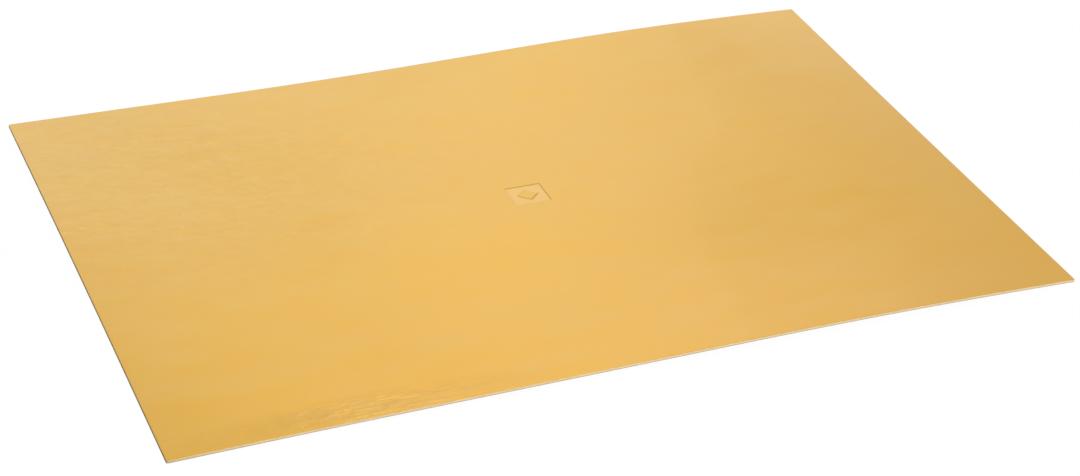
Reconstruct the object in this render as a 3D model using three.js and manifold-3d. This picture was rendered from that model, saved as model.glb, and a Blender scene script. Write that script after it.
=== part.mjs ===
// A gold cake board: solid grey card faced with metallised gold film, and cut to a rectangle by a die.
// Millimetres, +Z up. The origin is under the middle of the board, on the surface that the board lies on.
// +X runs along the long side, and -Y is the front.
import * as THREE from "three";
import { mergeVertices } from "three/addons/utils/BufferGeometryUtils.js";
import Module from "manifold-3d";

// The cut sheet, with the film on it
const boardLength = 400;
const boardWidth = 300;
const boardThickness = 1.2;
const cornerRadius = 0.8;

// The die rolls the edge of the gold face down as it cuts
const rimWidth = 0.35;
const rimDrop = 0.15;

// The middle of the sheet lies flat on the table, and the border around it has warped upwards
const flatLength = 180;
const flatWidth = 90;

// Height of the underside at the two corners that stand off the table; the other two touch it
const backLeftLift = 4.1;
const frontRightLift = 4.1;

// Height of the waves along each edge: a bow is one half wave, a sway is two and a ripple is three
const frontBow = 2.2;
const frontSway = -0.5;
const frontRipple = 0.3;
const backBow = 0.25;
const backSway = -1.25;
const backRipple = 0.4;
const leftBow = 1.1;
const rightBow = -0.4;

// The blind stamp in the gold face: a sunk square with a lozenge left standing in it
const stampX = 8;
const stampY = 9.5;
const stampSide = 16.5;
const stampDepth = 0.25;
const stampDraft = 0.3;
const lozengeSide = 7;

// Size of a facet of the warped sheet
const facetLength = 15;

const wasm = await Module();
wasm.setup();

function mix(start, end, share) {
  return start * (1 - share) + end * share;
}

// Height of the waves at a share of the way along an edge; they are nothing at its two corners
function wavesAlong(share, bow, sway = 0, ripple = 0) {
  const halfWave = Math.PI * share;
  return bow * Math.sin(halfWave) + sway * Math.sin(2 * halfWave) + ripple * Math.sin(3 * halfWave);
}

// How high the edges lift, blended between the four of them
function edgeLift(x, y) {
  const toRight = x / boardLength + 0.5;
  const toBack = y / boardWidth + 0.5;
  const corners = mix(frontRightLift * toRight, backLeftLift * (1 - toRight), toBack);
  const front = wavesAlong(toRight, frontBow, frontSway, frontRipple);
  const back = wavesAlong(toRight, backBow, backSway, backRipple);
  const left = wavesAlong(toBack, leftBow);
  const right = wavesAlong(toBack, rightBow);
  return corners + mix(front, back, toBack) + mix(left, right, toRight);
}

// The curve of a strip that is held flat and bent up at its end: 0 on the flat, 1 at the edge
function bend(distance, side, flat) {
  const reach = Math.max(0, Math.abs(distance) - flat / 2) / ((side - flat) / 2);
  return (reach * reach * (3 - reach)) / 2;
}

// Height of the sheet's underside
function lift(x, y) {
  const stillFlat = (1 - bend(x, boardLength, flatLength)) * (1 - bend(y, boardWidth, flatWidth));
  return edgeLift(x, y) * (1 - stillFlat);
}

// Pulls a point of the square-cornered grid in to the corner's arc
function roundCorner(x, y) {
  const centreX = boardLength / 2 - cornerRadius;
  const centreY = boardWidth / 2 - cornerRadius;
  const overX = Math.abs(x) - centreX;
  const overY = Math.abs(y) - centreY;
  if (overX <= 0 || overY <= 0) {
    return [x, y];
  }
  const pull = Math.max(overX, overY) / Math.hypot(overX, overY);
  return [Math.sign(x) * (centreX + overX * pull), Math.sign(y) * (centreY + overY * pull)];
}

function evenSteps(start, end) {
  const count = Math.ceil((end - start) / facetLength);
  return Array.from({ length: count + 1 }, (_, i) => mix(start, end, i / count));
}

// Grid lines across the sheet one way: its edge, the rim, the corner's arc, and even steps between
function gridLines(side, flat) {
  const edge = side / 2;
  const arcStart = edge - cornerRadius;
  const lines = [
    -edge,
    rimWidth - edge,
    ...evenSteps(-arcStart, -flat / 2),
    ...evenSteps(-flat / 2, flat / 2),
    ...evenSteps(flat / 2, arcStart),
    edge - rimWidth,
    edge,
  ];
  return [...new Set(lines)].sort((a, b) => a - b);
}

function toSolid(geometry) {
  geometry.deleteAttribute("normal");
  geometry.deleteAttribute("uv");
  const merged = mergeVertices(geometry);
  return new wasm.Manifold(
    new wasm.Mesh({
      numProp: 3,
      vertProperties: merged.attributes.position.array,
      triVerts: new Uint32Array(merged.index.array),
    }),
  );
}

function toGeometry(solid) {
  const mesh = solid.getMesh();
  const geometry = new THREE.BufferGeometry();
  geometry.setAttribute("position", new THREE.BufferAttribute(mesh.vertProperties, 3));
  geometry.setIndex(new THREE.BufferAttribute(mesh.triVerts, 1));
  geometry.computeVertexNormals();
  return geometry;
}

// The warped sheet: a gridded box whose points are moved to their places
function makeSheet() {
  const columns = gridLines(boardLength, flatLength);
  const rows = gridLines(boardWidth, flatWidth);
  const lastColumn = columns.length - 1;
  const lastRow = rows.length - 1;
  const sheet = new THREE.BoxGeometry(1, 1, 1, lastColumn, lastRow, 1);
  const position = sheet.attributes.position;
  for (let i = 0; i < position.count; i += 1) {
    const column = Math.round((position.getX(i) + 0.5) * lastColumn);
    const row = Math.round((position.getY(i) + 0.5) * lastRow);
    const onRim = column === 0 || column === lastColumn || row === 0 || row === lastRow;
    const faceHeight = onRim ? boardThickness - rimDrop : boardThickness;
    const onFace = position.getZ(i) > 0;
    const [x, y] = roundCorner(columns[column], rows[row]);
    position.setXYZ(i, x, y, lift(x, y) + (onFace ? faceHeight : 0));
  }
  return toSolid(sheet);
}

// A four-sided block with sloped sides across the gold face. It has its stated side at the level of
// the face, reaches as far above the face as below it, and widens by the draft at its upper end.
function slopedBlock(side, draft, turn) {
  const cornerPerSide = Math.SQRT1_2;
  const upperCorner = (side + 2 * draft) * cornerPerSide;
  const lowerCorner = (side - 2 * draft) * cornerPerSide;
  const block = new THREE.CylinderGeometry(upperCorner, lowerCorner, 2 * stampDepth, 4);
  block.rotateX(Math.PI / 2);
  block.rotateZ(turn);
  block.translate(stampX, stampY, boardThickness);
  return toSolid(block);
}

// What the stamp presses out of the face: a square, less the lozenge that stays standing
function makeStamp() {
  const square = slopedBlock(stampSide, stampDraft, Math.PI / 4);
  const lozenge = slopedBlock(lozengeSide, -stampDraft, 0);
  return square.subtract(lozenge);
}

const goldFilm = new THREE.MeshStandardMaterial({
  color: 0xecbe6c,
  roughness: 0.35,
  metalness: 0.9,
  flatShading: true,
});

const cakeBoard = new THREE.Mesh(toGeometry(makeSheet().subtract(makeStamp())), goldFilm);
cakeBoard.name = "cake_board";

const board = new THREE.Group();
board.add(cakeBoard);

export default board;
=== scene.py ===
"""A gold cake board: a rectangle of solid card faced with metallised gold film, lying loose on a table."""
import math

import bpy
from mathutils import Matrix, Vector, noise


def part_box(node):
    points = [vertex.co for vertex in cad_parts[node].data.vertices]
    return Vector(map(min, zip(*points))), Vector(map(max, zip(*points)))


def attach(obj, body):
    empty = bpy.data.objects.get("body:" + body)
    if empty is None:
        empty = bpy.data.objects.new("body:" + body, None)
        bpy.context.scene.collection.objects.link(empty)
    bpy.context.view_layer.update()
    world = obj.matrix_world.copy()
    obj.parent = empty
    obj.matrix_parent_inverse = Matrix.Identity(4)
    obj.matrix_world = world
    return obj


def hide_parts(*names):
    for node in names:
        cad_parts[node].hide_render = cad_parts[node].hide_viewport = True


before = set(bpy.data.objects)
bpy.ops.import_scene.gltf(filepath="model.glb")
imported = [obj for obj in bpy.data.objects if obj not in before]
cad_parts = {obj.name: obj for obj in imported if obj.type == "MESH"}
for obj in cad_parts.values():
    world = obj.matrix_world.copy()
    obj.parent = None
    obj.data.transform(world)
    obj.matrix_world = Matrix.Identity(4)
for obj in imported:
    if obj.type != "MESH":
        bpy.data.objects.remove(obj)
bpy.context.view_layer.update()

# The gold cake board: its sheet. Grey card plies are glued up with a metallised gold film on the face and a
# paper lining beneath, and one stroke of a die cuts the rectangle and stamps the mark. It lies loose: its
# middle is flat on the table, two opposite corners touch it, and the rest of the border has warped upwards.
mm = 0.001
board_low, board_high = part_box("cake_board")
board_length = (board_high.x - board_low.x) / mm
board_width = (board_high.y - board_low.y) / mm
card_thickness = 1.2
corner_radius = 0.8
flat_length = 180
flat_width = 90
back_left_lift = 4.1
front_right_lift = 4.1


def mix(start, end, share):
    return start * (1 - share) + end * share


def waves_along(share, bow, sway=0, ripple=0):
    """One, two and three half waves along an edge, at a share of the way; nothing at its two corners."""
    half_wave = math.pi * share
    return bow * math.sin(half_wave) + sway * math.sin(2 * half_wave) + ripple * math.sin(3 * half_wave)


def edge_lift(x, y):
    """How high the four edges lift, blended between them."""
    to_right = x / board_length + 0.5
    to_back = y / board_width + 0.5
    corners = mix(front_right_lift * to_right, back_left_lift * (1 - to_right), to_back)
    front = waves_along(to_right, bow=2.2, sway=-0.5, ripple=0.3)
    back = waves_along(to_right, bow=0.25, sway=-1.25, ripple=0.4)
    left = waves_along(to_back, bow=1.1)
    right = waves_along(to_back, bow=-0.4)
    return corners + mix(front, back, to_back) + mix(left, right, to_right)


def bend(distance, side, flat):
    """The curve of a strip held flat and bent up at its end: 0 on the flat, 1 at the edge."""
    reach = max(0.0, abs(distance) - flat / 2) / ((side - flat) / 2)
    return reach * reach * (3 - reach) / 2


def sheet_lift(x, y):
    """Height of the underside above the table."""
    still_flat = (1 - bend(x, board_length, flat_length)) * (1 - bend(y, board_width, flat_width))
    return edge_lift(x, y) * (1 - still_flat)


def ply_waviness(x, y):
    """The slow unevenness that the glued plies leave in the face, just below its level, along the board."""
    long_waves = noise.noise(Vector((x / 70, y / 14, 1.7)))
    short_waves = noise.noise(Vector((x / 26, y / 8, 6.1)))
    return 0.008 * (long_waves - 1) + 0.004 * short_waves


# The stamped mark. The die's small block presses a square into the gold face and leaves a lozenge standing
# in it at the level of the face. The film stretches over every edge, so each one is a short rounded slope.
stamp_x = 8
stamp_y = 9.5
stamp_side = 16.5
stamp_depth = 0.25
stamp_draft = 0.3
lozenge_side = 7


def soft_step(distance):
    """0 inside an outline and 1 outside it, rounded over the draft of the stamp's edge."""
    share = min(1.0, max(0.0, (distance + stamp_draft) / (2 * stamp_draft)))
    return share * share * (3 - 2 * share)


def stamp_press(x, y):
    """1 where the stamp has pressed the face to its full depth, and 0 where it hasn't."""
    across = abs(x - stamp_x)
    along = abs(y - stamp_y)
    past_square = max(across, along) - stamp_side / 2
    past_lozenge = (across + along) * math.sqrt(0.5) - lozenge_side / 2
    return (1 - soft_step(past_square)) * soft_step(past_lozenge)


# The rim and the cut face. The die rolls the edge of the film down as it enters, cuts the upper plies clean,
# and tears the lower ones, so that they stand back and are rough.
rim_width = 0.35
rim_drop = 0.15
rim_insets = [0.0, 0.03, 0.11, 0.22, rim_width]
gold, cut_card, lining = range(3)
# Down the cut, each row's depth below the face, how far it stands back, and the finish above it
cut_rows = [
    (0.20, 0.00, gold),
    (0.23, 0.03, cut_card),
    (0.55, 0.02, cut_card),
    (0.80, 0.045, cut_card),
    (1.05, 0.05, cut_card),
    (1.17, 0.015, cut_card),
]
tear_depth = 0.03


def rim_roll(inset):
    """How far the face is rolled down at a distance from its edge: a quarter of an ellipse."""
    flat_share = max(0.0, 1 - inset / rim_width)
    return rim_drop * (1 - math.sqrt(1 - flat_share * flat_share))


def past_arc_centre(x, y):
    """How far a point lies beyond the centre of the nearest corner's arc, each way."""
    return (
        max(0.0, abs(x) - board_length / 2 + corner_radius),
        max(0.0, abs(y) - board_width / 2 + corner_radius),
    )


def moved(x, y, inward_x, inward_y):
    return x - math.copysign(inward_x, x), y - math.copysign(inward_y, y)


def round_corner(x, y):
    """Pulls a point of the square-cornered grid in to the corner's arc."""
    over_x, over_y = past_arc_centre(x, y)
    if over_x == 0 or over_y == 0:
        return x, y
    pull = 1 - max(over_x, over_y) / math.hypot(over_x, over_y)
    return moved(x, y, over_x * pull, over_y * pull)


def stand_back(x, y, distance):
    """Moves a point of the cut outline in, square to it."""
    inward = Vector(past_arc_centre(x, y)).normalized() * distance
    return moved(x, y, inward.x, inward.y)


# The grid of the sheet: close lines at the rim and over the stamp, and wide ones between.
board_step = 3.0
stamp_step = 0.25
stamp_margin = 1.0


def even_steps(start, end, step):
    count = math.ceil((end - start) / step)
    return [mix(start, end, i / count) for i in range(count + 1)]


def grid_lines(side, stamp_centre):
    edge = side / 2
    arc_start = edge - corner_radius
    stamp_start = stamp_centre - stamp_side / 2 - stamp_margin
    stamp_end = stamp_centre + stamp_side / 2 + stamp_margin
    lines = {edge - inset for inset in rim_insets} | {inset - edge for inset in rim_insets}
    lines |= set(even_steps(-arc_start, stamp_start, board_step))
    lines |= set(even_steps(stamp_start, stamp_end, stamp_step))
    lines |= set(even_steps(stamp_end, arc_start, board_step))
    return sorted(lines)


columns = grid_lines(board_length, stamp_x)
rows = grid_lines(board_width, stamp_y)
last_column = len(columns) - 1
last_row = len(rows) - 1
points = []
point_depths = []
point_presses = []
faces = []
face_finishes = []


def add_point(x, y, z, depth, press=0.0):
    points.append(Vector((x, y, z)) * mm)
    point_depths.append(depth)
    point_presses.append(press)
    return len(points) - 1


def add_face(corners, finish):
    faces.append(corners)
    face_finishes.append(finish)


def add_skin(point_at, finish, facing_up):
    """One side of the sheet: a point at every crossing of the grid, and faces between them."""
    grid = [[point_at(x_line, y_line) for y_line in rows] for x_line in columns]
    for i in range(last_column):
        for j in range(last_row):
            corners = (grid[i][j], grid[i + 1][j], grid[i + 1][j + 1], grid[i][j + 1])
            add_face(corners if facing_up else corners[::-1], finish)
    front = [grid[i][0] for i in range(last_column)]
    right = [grid[last_column][j] for j in range(last_row)]
    back = [grid[i][last_row] for i in range(last_column, 0, -1)]
    left = [grid[0][j] for j in range(last_row, 0, -1)]
    return front + right + back + left


def add_band(upper, lower, finish):
    """A strip of the cut face between two rows of points, facing outwards."""
    for k in range(len(upper)):
        add_face((upper[k], upper[k - 1], lower[k - 1], lower[k]), finish)


def face_point(x_line, y_line):
    x, y = round_corner(x_line, y_line)
    rolled = rim_roll(min(board_length / 2 - abs(x_line), board_width / 2 - abs(y_line)))
    press = stamp_press(x, y)
    sink = rolled + stamp_depth * press - ply_waviness(x, y)
    return add_point(x, y, sheet_lift(x, y) + card_thickness - sink, rolled, press)


def underside_point(x_line, y_line):
    x, y = round_corner(x_line, y_line)
    return add_point(x, y, sheet_lift(x, y), card_thickness)


outline = add_skin(face_point, gold, facing_up=True)
outline_places = [(points[i].x / mm, points[i].y / mm) for i in outline]
upper = outline
for depth, set_back, finish in cut_rows:
    lower = []
    for x, y in outline_places:
        tear = tear_depth * max(0.0, noise.noise(Vector((x / 2, y / 2, depth * 4))))
        x_cut, y_cut = stand_back(x, y, set_back + (tear if finish == cut_card else 0))
        lower.append(add_point(x_cut, y_cut, sheet_lift(x, y) + card_thickness - depth, depth))
    add_band(upper, lower, finish)
    upper = lower
add_band(upper, add_skin(underside_point, lining, facing_up=False), cut_card)

sheet = bpy.data.meshes.new("gold_cake_board")
sheet.from_pydata(points, [], faces)
sheet.polygons.foreach_set("material_index", face_finishes)
sheet.polygons.foreach_set("use_smooth", [True] * len(faces))
sheet.attributes.new("depth_in_card", "FLOAT", "POINT").data.foreach_set("value", point_depths)
sheet.attributes.new("stamp_press", "FLOAT", "POINT").data.foreach_set("value", point_presses)
sheet.set_sharp_from_angle(angle=math.radians(50))
sheet.update()
cake_board = bpy.data.objects.new("gold_cake_board", sheet)
bpy.context.scene.collection.objects.link(cake_board)


# The gold film: aluminium under clear gold lacquer, glossy on top and satin beneath. A roller glued it to
# the card. It is mottled at the back left, crinkled by the front edge left of the middle, and specked where
# grains are caught under it. Its colour also carries painted light: a painted sheen, paler to the back left
# and darker to the right, and a painted dark band over the crinkle.
def new_finish(name):
    """A material on the board, with its nodes, its shader and the place of each point in metres."""
    finish = bpy.data.materials.new(name)
    finish.use_nodes = True
    sheet.materials.append(finish)
    tree = finish.node_tree
    place = tree.nodes.new("ShaderNodeTexCoord").outputs["Object"]
    return tree, tree.nodes["Principled BSDF"], place


def attribute(tree, name):
    """What the mesh says of each point under a name."""
    node = tree.nodes.new("ShaderNodeAttribute")
    node.attribute_name = name
    return node.outputs["Fac"]


def calculate(tree, operation, first, second):
    """Arithmetic on two values, each a socket or a number."""
    node = tree.nodes.new("ShaderNodeMath")
    node.operation = operation
    for socket, value in zip(node.inputs, (first, second)):
        if isinstance(value, bpy.types.NodeSocket):
            tree.links.new(value, socket)
        else:
            socket.default_value = value
    return node.outputs["Value"]


def ramp(tree, value, start, end, low=0.0, high=1.0):
    """Takes a value from low to high as it goes from start to end, and no further."""
    node = tree.nodes.new("ShaderNodeMapRange")
    tree.links.new(value, node.inputs["Value"])
    node.inputs["From Min"].default_value = start
    node.inputs["From Max"].default_value = end
    node.inputs["To Min"].default_value = low
    node.inputs["To Max"].default_value = high
    return node.outputs["Result"]


def sized(tree, place, x, y, z, offset=(0, 0, 0)):
    """The place counted in grains of x by y by z millimetres from an offset."""
    node = tree.nodes.new("ShaderNodeMapping")
    node.vector_type = "TEXTURE"
    node.inputs["Location"].default_value = Vector(offset) * mm
    node.inputs["Scale"].default_value = Vector((x, y, z)) * mm
    tree.links.new(place, node.inputs["Vector"])
    return node.outputs["Vector"]


def grain(tree, place, x, y, z, detail=2.0):
    """Noise with grains of x by y by z millimetres, about 0.3 to 0.7."""
    node = tree.nodes.new("ShaderNodeTexNoise")
    node.inputs["Scale"].default_value = 1.0
    node.inputs["Detail"].default_value = detail
    tree.links.new(sized(tree, place, x, y, z), node.inputs["Vector"])
    return node.outputs["Fac"]


def relief(tree, height, depth, over=None):
    """A bump of a real depth in millimetres, on top of the relief given."""
    node = tree.nodes.new("ShaderNodeBump")
    node.inputs["Strength"].default_value = 1.0
    node.inputs["Distance"].default_value = depth * mm
    tree.links.new(height, node.inputs["Height"])
    if over:
        tree.links.new(over, node.inputs["Normal"])
    return node.outputs["Normal"]


def only_in(tree, height, area):
    """A noise's height about its middle, kept where the area is 1 and flattened where it is 0."""
    return calculate(tree, "MULTIPLY", calculate(tree, "SUBTRACT", height, 0.5), area)


def colour_between(tree, share, low, high):
    """The colour low where the share is 0, and high where it is 1; each is a socket or a colour."""
    node = tree.nodes.new("ShaderNodeMix")
    node.data_type = "RGBA"
    tree.links.new(share, node.inputs["Factor"])
    for socket, colour in (("A", low), ("B", high)):
        target = next(i for i in node.inputs if i.name == socket and i.type == "RGBA")
        if isinstance(colour, bpy.types.NodeSocket):
            tree.links.new(colour, target)
        else:
            target.default_value = (*colour, 1)
    return next(o for o in node.outputs if o.type == "RGBA")


def patch(tree, place, x, y, length, width):
    """1 in the middle of an oval patch, whose place and size are in millimetres, and 0 outside it."""
    node = tree.nodes.new("ShaderNodeVectorMath")
    node.operation = "LENGTH"
    tree.links.new(sized(tree, place, length / 2, width / 2, 1000, offset=(x, y, 0)), node.inputs[0])
    return ramp(tree, node.outputs["Value"], 0.3, 1.0, 1.0, 0.0)


lacquer_gold = (0.645, 0.338, 0.013)
sheen_pale_gold = (0.617, 0.378, 0.074)
spots_and_dark_band_brown = (0.42, 0.22, 0.025)
pale_rim_colour = (0.80, 0.67, 0.40)
pressed_pale = (0.70, 0.48, 0.18)
stamp_wall_shade_brown = (0.36, 0.20, 0.04)
painted_sheen_to_right = -0.4 / 0.2
painted_sheen_to_back = 0.6 / 0.15

film, film_shader, place = new_finish("gold_film")
film_shader.inputs["Metallic"].default_value = 1.0
film_shader.inputs["Coat Weight"].default_value = 0.45
film_shader.inputs["Coat Roughness"].default_value = 0.05
film_shader.inputs["Coat IOR"].default_value = 1.5

# Painted sheen: the gold is painted paler and whiter towards the back left and darker towards the right,
# standing in for the sheen the face reflects; random mottling is added on top.
painted_sheen_gradient = film.nodes.new("ShaderNodeVectorMath")
painted_sheen_gradient.operation = "DOT_PRODUCT"
painted_sheen_gradient.inputs[1].default_value = (painted_sheen_to_right, painted_sheen_to_back, 0)
film.links.new(place, painted_sheen_gradient.inputs[0])
mottle = grain(film, place, 34, 16, 34, detail=3)
mottling = ramp(film, mottle, 0.3, 0.7, -0.35, 0.35)
painted_sheen_and_mottle = calculate(film, "ADD", painted_sheen_gradient.outputs["Value"], mottling)
film_colour = colour_between(film, ramp(film, painted_sheen_and_mottle, -1, 1), lacquer_gold, sheen_pale_gold)

crinkled = patch(film, place, x=-114, y=-142, length=175, width=26)
mottled = patch(film, place, x=-160, y=70, length=380, width=260)
uneven = ramp(film, calculate(film, "MAXIMUM", crinkled, mottled), 0, 1, 0.2, 1.0)
# Brown spots are scattered in the lacquer. Over the crinkled patch the colour is also painted darker as a
# whole, a painted dark reflection band.
lacquer_spots = ramp(film, grain(film, place, 7, 5, 7, detail=4), 0.35, 0.7, 0.0, 0.12)
spots_and_painted_dark_band = calculate(film, "MULTIPLY", lacquer_spots, calculate(film, "ADD", uneven, crinkled))
spots_and_painted_dark_band = calculate(film, "ADD", spots_and_painted_dark_band, calculate(film, "MULTIPLY", crinkled, 0.17))
film_colour = colour_between(film, spots_and_painted_dark_band, film_colour, spots_and_dark_band_brown)

# The rolled rim is paler and rougher in patches.
rolled = ramp(film, attribute(film, "depth_in_card"), 0.02, rim_drop)
rim_patch_noise = ramp(film, grain(film, place, 2.5, 2.5, 2.5), 0.42, 0.6, 0.45, 1.0)
pale_rim_patches = calculate(film, "MULTIPLY", rolled, rim_patch_noise)
film_colour = colour_between(film, pale_rim_patches, film_colour, pale_rim_colour)
press = attribute(film, "stamp_press")
film_colour = colour_between(film, calculate(film, "MULTIPLY", press, 0.3), film_colour, pressed_pale)
# Painted shade: every sloping wall of the pressed square and of the lozenge is painted brown, standing in
# for the dark line of shade along the recess's edge.
painted_stamp_wall_shade = calculate(film, "MULTIPLY", calculate(film, "PINGPONG", press, 0.5), 1.2)
film_colour = colour_between(film, painted_stamp_wall_shade, film_colour, stamp_wall_shade_brown)
film.links.new(film_colour, film_shader.inputs["Base Color"])
film_roughness = ramp(film, mottle, 0.3, 0.7, 0.30, 0.34)
film_roughness = calculate(film, "ADD", film_roughness, calculate(film, "MULTIPLY", pale_rim_patches, 0.15))
film.links.new(film_roughness, film_shader.inputs["Roughness"])

mottle_height = only_in(film, mottle, uneven)
crinkle_height = only_in(film, grain(film, place, 12, 2, 12, detail=4), crinkled)
peel_height = only_in(film, grain(film, place, 5, 4, 5, detail=3), uneven)
caught_grains = film.nodes.new("ShaderNodeTexVoronoi")
caught_grains.inputs["Scale"].default_value = 1.0
film.links.new(sized(film, place, 12, 8, 12), caught_grains.inputs["Vector"])
grain_height = ramp(film, caught_grains.outputs["Distance"], 0.03, 0.1, 1.0, 0.0)
grain_height = calculate(film, "MULTIPLY", grain_height, uneven)
fine_grain = grain(film, place, 0.6, 0.45, 0.6)
film_relief = relief(film, mottle_height, depth=0.24)
film_relief = relief(film, crinkle_height, depth=0.2, over=film_relief)
film_relief = relief(film, peel_height, depth=0.09, over=film_relief)
film_relief = relief(film, fine_grain, depth=0.003, over=film_relief)
film_relief = relief(film, grain_height, depth=0.08, over=film_relief)
film.links.new(film_relief, film_shader.inputs["Normal"])
film.links.new(film_relief, film_shader.inputs["Coat Normal"])

# The cut face: paler towards the top and darker towards the bottom, a thin dark line of glue between each
# pair of plies, and fibres that the die has pulled out along the cut. It is dry, matt card with nothing on
# it.
paler_cut_top = (0.93, 0.80, 0.52)
darker_cut_bottom = (0.62, 0.48, 0.33)
glue_line = (0.50, 0.37, 0.21)
ply_thickness = 0.3

card, card_shader, place = new_finish("cut_card")
card_shader.inputs["Roughness"].default_value = 0.92
card_shader.inputs["Specular IOR Level"].default_value = 0.25
fibres = grain(card, place, 0.9, 0.9, 0.08, detail=3)
wandering = calculate(card, "MULTIPLY", calculate(card, "SUBTRACT", grain(card, place, 4, 4, 4), 0.5), 0.12)
level = calculate(card, "ADD", attribute(card, "depth_in_card"), wandering)
ply_share = calculate(card, "PINGPONG", level, ply_thickness / 2)
glue = ramp(card, ply_share, 0.0, 0.03, 0.4, 0.0)
ply_colour = colour_between(card, ramp(card, level, 0.45, 0.85), paler_cut_top, darker_cut_bottom)
ply_colour = colour_between(card, ramp(card, fibres, 0.3, 0.75, 0.0, 0.35), ply_colour, glue_line)
ply_colour = colour_between(card, glue, ply_colour, glue_line)
card.links.new(ply_colour, card_shader.inputs["Base Color"])
card.links.new(relief(card, fibres, depth=0.05), card_shader.inputs["Normal"])

# The underside: a lining of recycled paper, pale grey and flecked with darker fibres. It is glued to the
# lowest ply, and balances the pull of the film on the face.
lining_grey = (0.56, 0.53, 0.47)
lining_pale = (0.66, 0.63, 0.57)
fleck_brown = (0.30, 0.25, 0.19)

paper, paper_shader, place = new_finish("lining_paper")
paper_shader.inputs["Roughness"].default_value = 0.88
paper_shader.inputs["Specular IOR Level"].default_value = 0.3
formation = grain(paper, place, 9, 6, 9, detail=4)
paper_colour = colour_between(paper, ramp(paper, formation, 0.35, 0.65), lining_grey, lining_pale)
flecks = ramp(paper, grain(paper, place, 1.6, 0.5, 1.0, detail=1), 0.68, 0.74, 0.0, 0.5)
paper_colour = colour_between(paper, flecks, paper_colour, fleck_brown)
paper.links.new(paper_colour, paper_shader.inputs["Base Color"])
paper_relief = relief(paper, grain(paper, place, 0.5, 0.3, 0.5, detail=3), depth=0.02)
paper.links.new(relief(paper, formation, depth=0.05, over=paper_relief), paper_shader.inputs["Normal"])

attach(cake_board, "root")
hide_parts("cake_board")

# The studio: a pale floor that the camera sees as almost white, with the board's soft shadow left on it.
floor_reach = 4.0
floor_drop = 0.1 * mm
floor_grey = 0.5
floor_white_share = 0.94
floor_white = 1.04

floor_mesh = bpy.data.meshes.new("floor")
floor_mesh.from_pydata(
    [(x * floor_reach, y * floor_reach, -floor_drop) for x, y in ((-1, -1), (1, -1), (1, 1), (-1, 1))],
    [],
    [(0, 1, 2, 3)],
)
floor = bpy.data.objects.new("floor", floor_mesh)
bpy.context.scene.collection.objects.link(floor)
floor_paint = bpy.data.materials.new("floor_paint")
floor_paint.use_nodes = True
floor_mesh.materials.append(floor_paint)
paint = floor_paint.node_tree
paint.nodes["Principled BSDF"].inputs["Base Color"].default_value = (floor_grey, floor_grey, floor_grey, 1)
paint.nodes["Principled BSDF"].inputs["Roughness"].default_value = 0.9
white = paint.nodes.new("ShaderNodeEmission")
white.inputs["Strength"].default_value = floor_white
ray = paint.nodes.new("ShaderNodeLightPath")
seen_white = calculate(paint, "MULTIPLY", ray.outputs["Is Camera Ray"], floor_white_share)
floor_blend = paint.nodes.new("ShaderNodeMixShader")
paint.links.new(seen_white, floor_blend.inputs["Fac"])
paint.links.new(paint.nodes["Principled BSDF"].outputs["BSDF"], floor_blend.inputs[1])
paint.links.new(white.outputs["Emission"], floor_blend.inputs[2])
paint.links.new(floor_blend.outputs["Shader"], paint.nodes["Material Output"].inputs["Surface"])

# The surround is plain white on every side, both as it is seen and as light. A low black flag, which the
# camera doesn't see, stands at the left and keeps that light off the board's left edge.
studio = bpy.data.worlds.new("studio")
studio.use_nodes = True
studio.node_tree.nodes["Background"].inputs["Color"].default_value = (1, 1, 1, 1)
studio.node_tree.nodes["Background"].inputs["Strength"].default_value = 1.0
bpy.context.scene.world = studio

flag_x = -0.222
flag_front = -0.20
flag_back = 0.18
flag_height = 0.035

flag_mesh = bpy.data.meshes.new("black_flag")
flag_mesh.from_pydata(
    [
        (flag_x, flag_front, 0),
        (flag_x, flag_back, 0),
        (flag_x, flag_back, flag_height),
        (flag_x, flag_front, flag_height),
    ],
    [],
    [(0, 1, 2, 3)],
)
black_flag = bpy.data.objects.new("black_flag", flag_mesh)
bpy.context.scene.collection.objects.link(black_flag)
black_flag.visible_camera = False
flag_cloth = bpy.data.materials.new("flag_cloth")
flag_cloth.use_nodes = True
flag_mesh.materials.append(flag_cloth)
flag_cloth.node_tree.nodes["Principled BSDF"].inputs["Base Color"].default_value = (0.02, 0.02, 0.02, 1)
flag_cloth.node_tree.nodes["Principled BSDF"].inputs["Roughness"].default_value = 1.0


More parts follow.
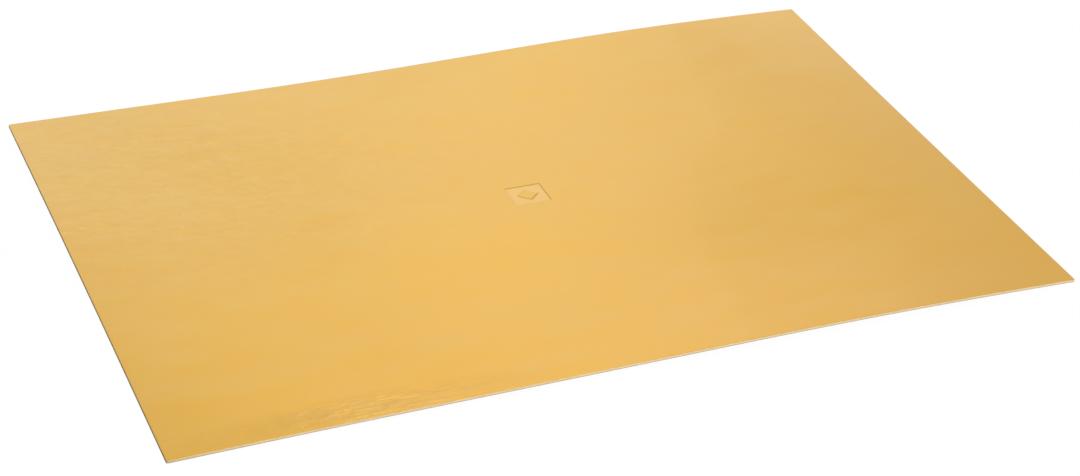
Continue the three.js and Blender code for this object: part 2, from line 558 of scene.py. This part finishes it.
# The lamps: two softboxes and two dim screens stand behind the board, where the gold face mirrors them
# towards the camera, and one softbox at the front lights the cut edge.
def direction(azimuth, elevation):
    """Towards what is seen at an azimuth, counted from -Y towards +X, and at an elevation."""
    turn = math.radians(azimuth)
    rise = math.radians(elevation)
    return Vector((math.sin(turn) * math.cos(rise), -math.cos(turn) * math.cos(rise), math.sin(rise)))


def softbox(name, azimuth, elevation, distance, size, brightness):
    """An area lamp that faces the board and is brightness times as bright as the white surround."""
    width, height = size
    lamp = bpy.data.lights.new(name, "AREA")
    lamp.shape = "RECTANGLE"
    lamp.size = width
    lamp.size_y = height
    lamp.energy = math.pi * width * height * brightness
    stand = bpy.data.objects.new(name, lamp)
    towards = direction(azimuth, elevation)
    stand.location = towards * distance
    stand.rotation_mode = "QUATERNION"
    stand.rotation_quaternion = towards.to_track_quat("Z", "Y")
    stand.visible_camera = False
    bpy.context.scene.collection.objects.link(stand)


softbox("high_softbox", azimuth=162, elevation=42, distance=2.0, size=(0.3, 0.35), brightness=2.6)
softbox("low_softbox", azimuth=153, elevation=12, distance=2.0, size=(0.3, 0.35), brightness=1.15)
softbox("right_screen", azimuth=160.2, elevation=22.2, distance=1.15, size=(0.274, 0.33), brightness=0.27)
softbox("left_screen", azimuth=180, elevation=21.1, distance=1.1, size=(0.42, 0.28), brightness=0.36)
softbox("front_softbox", azimuth=10, elevation=35, distance=1.0, size=(1.3, 0.75), brightness=1.1)

# The camera stands where the photograph was taken from, low at the board's front left.
camera_azimuth = -19.92
camera_elevation = 29.11
camera_distance = 1.425
camera_aim = Vector((0, -28.6 * mm, 0))

camera_back = bpy.data.cameras.new("camera")
camera_back.sensor_width = 36
camera_back.lens = 107.5
camera = bpy.data.objects.new("camera", camera_back)
camera.location = camera_aim + direction(camera_azimuth, camera_elevation) * camera_distance
camera.rotation_mode = "QUATERNION"
camera.rotation_quaternion = direction(camera_azimuth, camera_elevation).to_track_quat("Z", "Y")
bpy.context.scene.collection.objects.link(camera)
bpy.context.scene.camera = camera
bpy.context.scene.view_settings.view_transform = "Standard"
